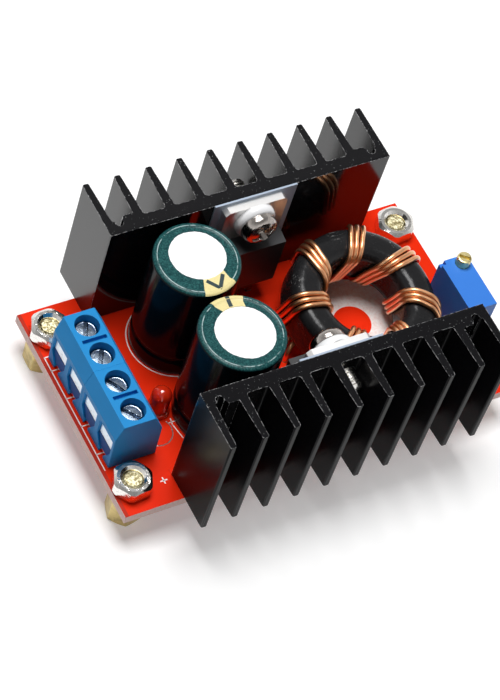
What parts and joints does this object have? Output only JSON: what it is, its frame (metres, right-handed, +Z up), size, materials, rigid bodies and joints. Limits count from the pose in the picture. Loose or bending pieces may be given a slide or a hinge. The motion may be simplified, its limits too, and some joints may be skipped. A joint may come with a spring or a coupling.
{
  "type": "boost converter module",
  "caption": "Step-up power converter board with finned black heatsinks, electrolytic capacitors, copper-wound toroid, blue screw terminals, trimmer and brass standoffs",
  "frame": {"origin": "centre of the footprint, under the standoffs", "axes": "+X along the board from the screw terminals to the trimmer, +Y across it, +Z up"},
  "size_m": [0.065, 0.047, 0.0275],
  "materials": {
    "board_mask": "glossy red solder mask",
    "print_white": "screen-printed ink",
    "brass": "machined",
    "nickel_plate": "bright nickel plate",
    "tin_plate": "tinned, bright",
    "black_anodised": "glossy black anodised",
    "copper_wire": "enamelled copper wire",
    "core_coating": "black epoxy coating",
    "moulding_black": "moulded epoxy",
    "pad_grey": "silicone pad",
    "bush_white": "moulded nylon",
    "sleeve_dark": "shrink sleeve",
    "can_bare": "bare drawn aluminium",
    "bung_rubber": "moulded",
    "housing_blue": "moulded, satin",
    "lens_red": "clear red lens",
    "ceramic_tan": "fired"
  },
  "bodies": {
    "root": {"chip_capacitors": "ceramic_tan", "chip_resistors": "moulding_black", "circuit_board": "board_mask", "controller_chip": "moulding_black", "controller_leads": "tin_plate", "heatsink_far": "black_anodised", "heatsink_near": "black_anodised", "inductor_core": "core_coating", "inductor_winding": "copper_wire", "input_capacitor_bung": "bung_rubber", "input_capacitor_can": "can_bare", "input_capacitor_leads": "tin_plate", "input_capacitor_sleeve": "sleeve_dark", "led_leads": "tin_plate", "led_lens": "lens_red", "nuts": "nickel_plate", "output_capacitor_bung": "bung_rubber", "output_capacitor_can": "can_bare", "output_capacitor_leads": "tin_plate", "output_capacitor_sleeve": "sleeve_dark", "printed_marks": "print_white", "rectifier_body": "moulding_black", "rectifier_bush": "bush_white", "rectifier_leads": "tin_plate", "rectifier_pad": "pad_grey", "rectifier_screw": "nickel_plate", "rectifier_tab": "tin_plate", "shunt_resistor": "moulding_black", "solder_joints": "tin_plate", "standoffs": "brass", "terminal_clamp_1": "tin_plate", "terminal_clamp_2": "tin_plate", "terminal_clamp_3": "tin_plate", "terminal_clamp_4": "tin_plate", "terminal_housing_1": "housing_blue", "terminal_housing_2": "housing_blue", "transistor_body": "moulding_black", "transistor_bush": "bush_white", "transistor_leads": "tin_plate", "transistor_pad": "pad_grey", "transistor_screw": "nickel_plate", "transistor_tab": "tin_plate", "trimmer_housing": "housing_blue", "trimmer_pins": "tin_plate"},
    "guard_1": {"wire_guard_1": "tin_plate"},
    "clamp_screw_1": {"terminal_screw_1": "tin_plate"},
    "guard_2": {"wire_guard_2": "tin_plate"},
    "clamp_screw_2": {"terminal_screw_2": "tin_plate"},
    "guard_3": {"wire_guard_3": "tin_plate"},
    "clamp_screw_3": {"terminal_screw_3": "tin_plate"},
    "guard_4": {"wire_guard_4": "tin_plate"},
    "clamp_screw_4": {"terminal_screw_4": "tin_plate"},
    "trimmer_adjuster": {"trimmer_screw": "brass"}
  },
  "joints": [
    {"name": "guard_lift_1", "type": "slide", "parent": "root", "child": "guard_1", "axis": [0, 0, 1], "range_m": [-0.0015, 0]},
    {"name": "screw_turn_1", "type": "hinge", "parent": "guard_1", "child": "clamp_screw_1", "pos_m": [-0.028, 0.0075, 0.0145], "axis": [0, 0, 1], "range_deg": [-1081, 0]},
    {"name": "guard_lift_2", "type": "slide", "parent": "root", "child": "guard_2", "axis": [0, 0, 1], "range_m": [-0.0015, 0]},
    {"name": "screw_turn_2", "type": "hinge", "parent": "guard_2", "child": "clamp_screw_2", "pos_m": [-0.028, 0.0025, 0.0145], "axis": [0, 0, 1], "range_deg": [-1081, 0]},
    {"name": "guard_lift_3", "type": "slide", "parent": "root", "child": "guard_3", "axis": [0, 0, 1], "range_m": [-0.0015, 0]},
    {"name": "screw_turn_3", "type": "hinge", "parent": "guard_3", "child": "clamp_screw_3", "pos_m": [-0.028, -0.0025, 0.0145], "axis": [0, 0, 1], "range_deg": [-1081, 0]},
    {"name": "guard_lift_4", "type": "slide", "parent": "root", "child": "guard_4", "axis": [0, 0, 1], "range_m": [-0.0015, 0]},
    {"name": "screw_turn_4", "type": "hinge", "parent": "guard_4", "child": "clamp_screw_4", "pos_m": [-0.028, -0.0075, 0.0145], "axis": [0, 0, 1], "range_deg": [-1081, 0]},
    {"name": "trimmer_turn", "type": "hinge", "parent": "root", "child": "trimmer_adjuster", "pos_m": [0.0304, -0.0011, 0.0161], "axis": [0, 0, 1], "continuous": true}
  ],
  "couplings": [
    {"joint": "screw_turn_1", "follows": "guard_lift_1", "rad_per_m": 12566},
    {"joint": "screw_turn_2", "follows": "guard_lift_2", "rad_per_m": 12566},
    {"joint": "screw_turn_3", "follows": "guard_lift_3", "rad_per_m": 12566},
    {"joint": "screw_turn_4", "follows": "guard_lift_4", "rad_per_m": 12566}
  ]
}
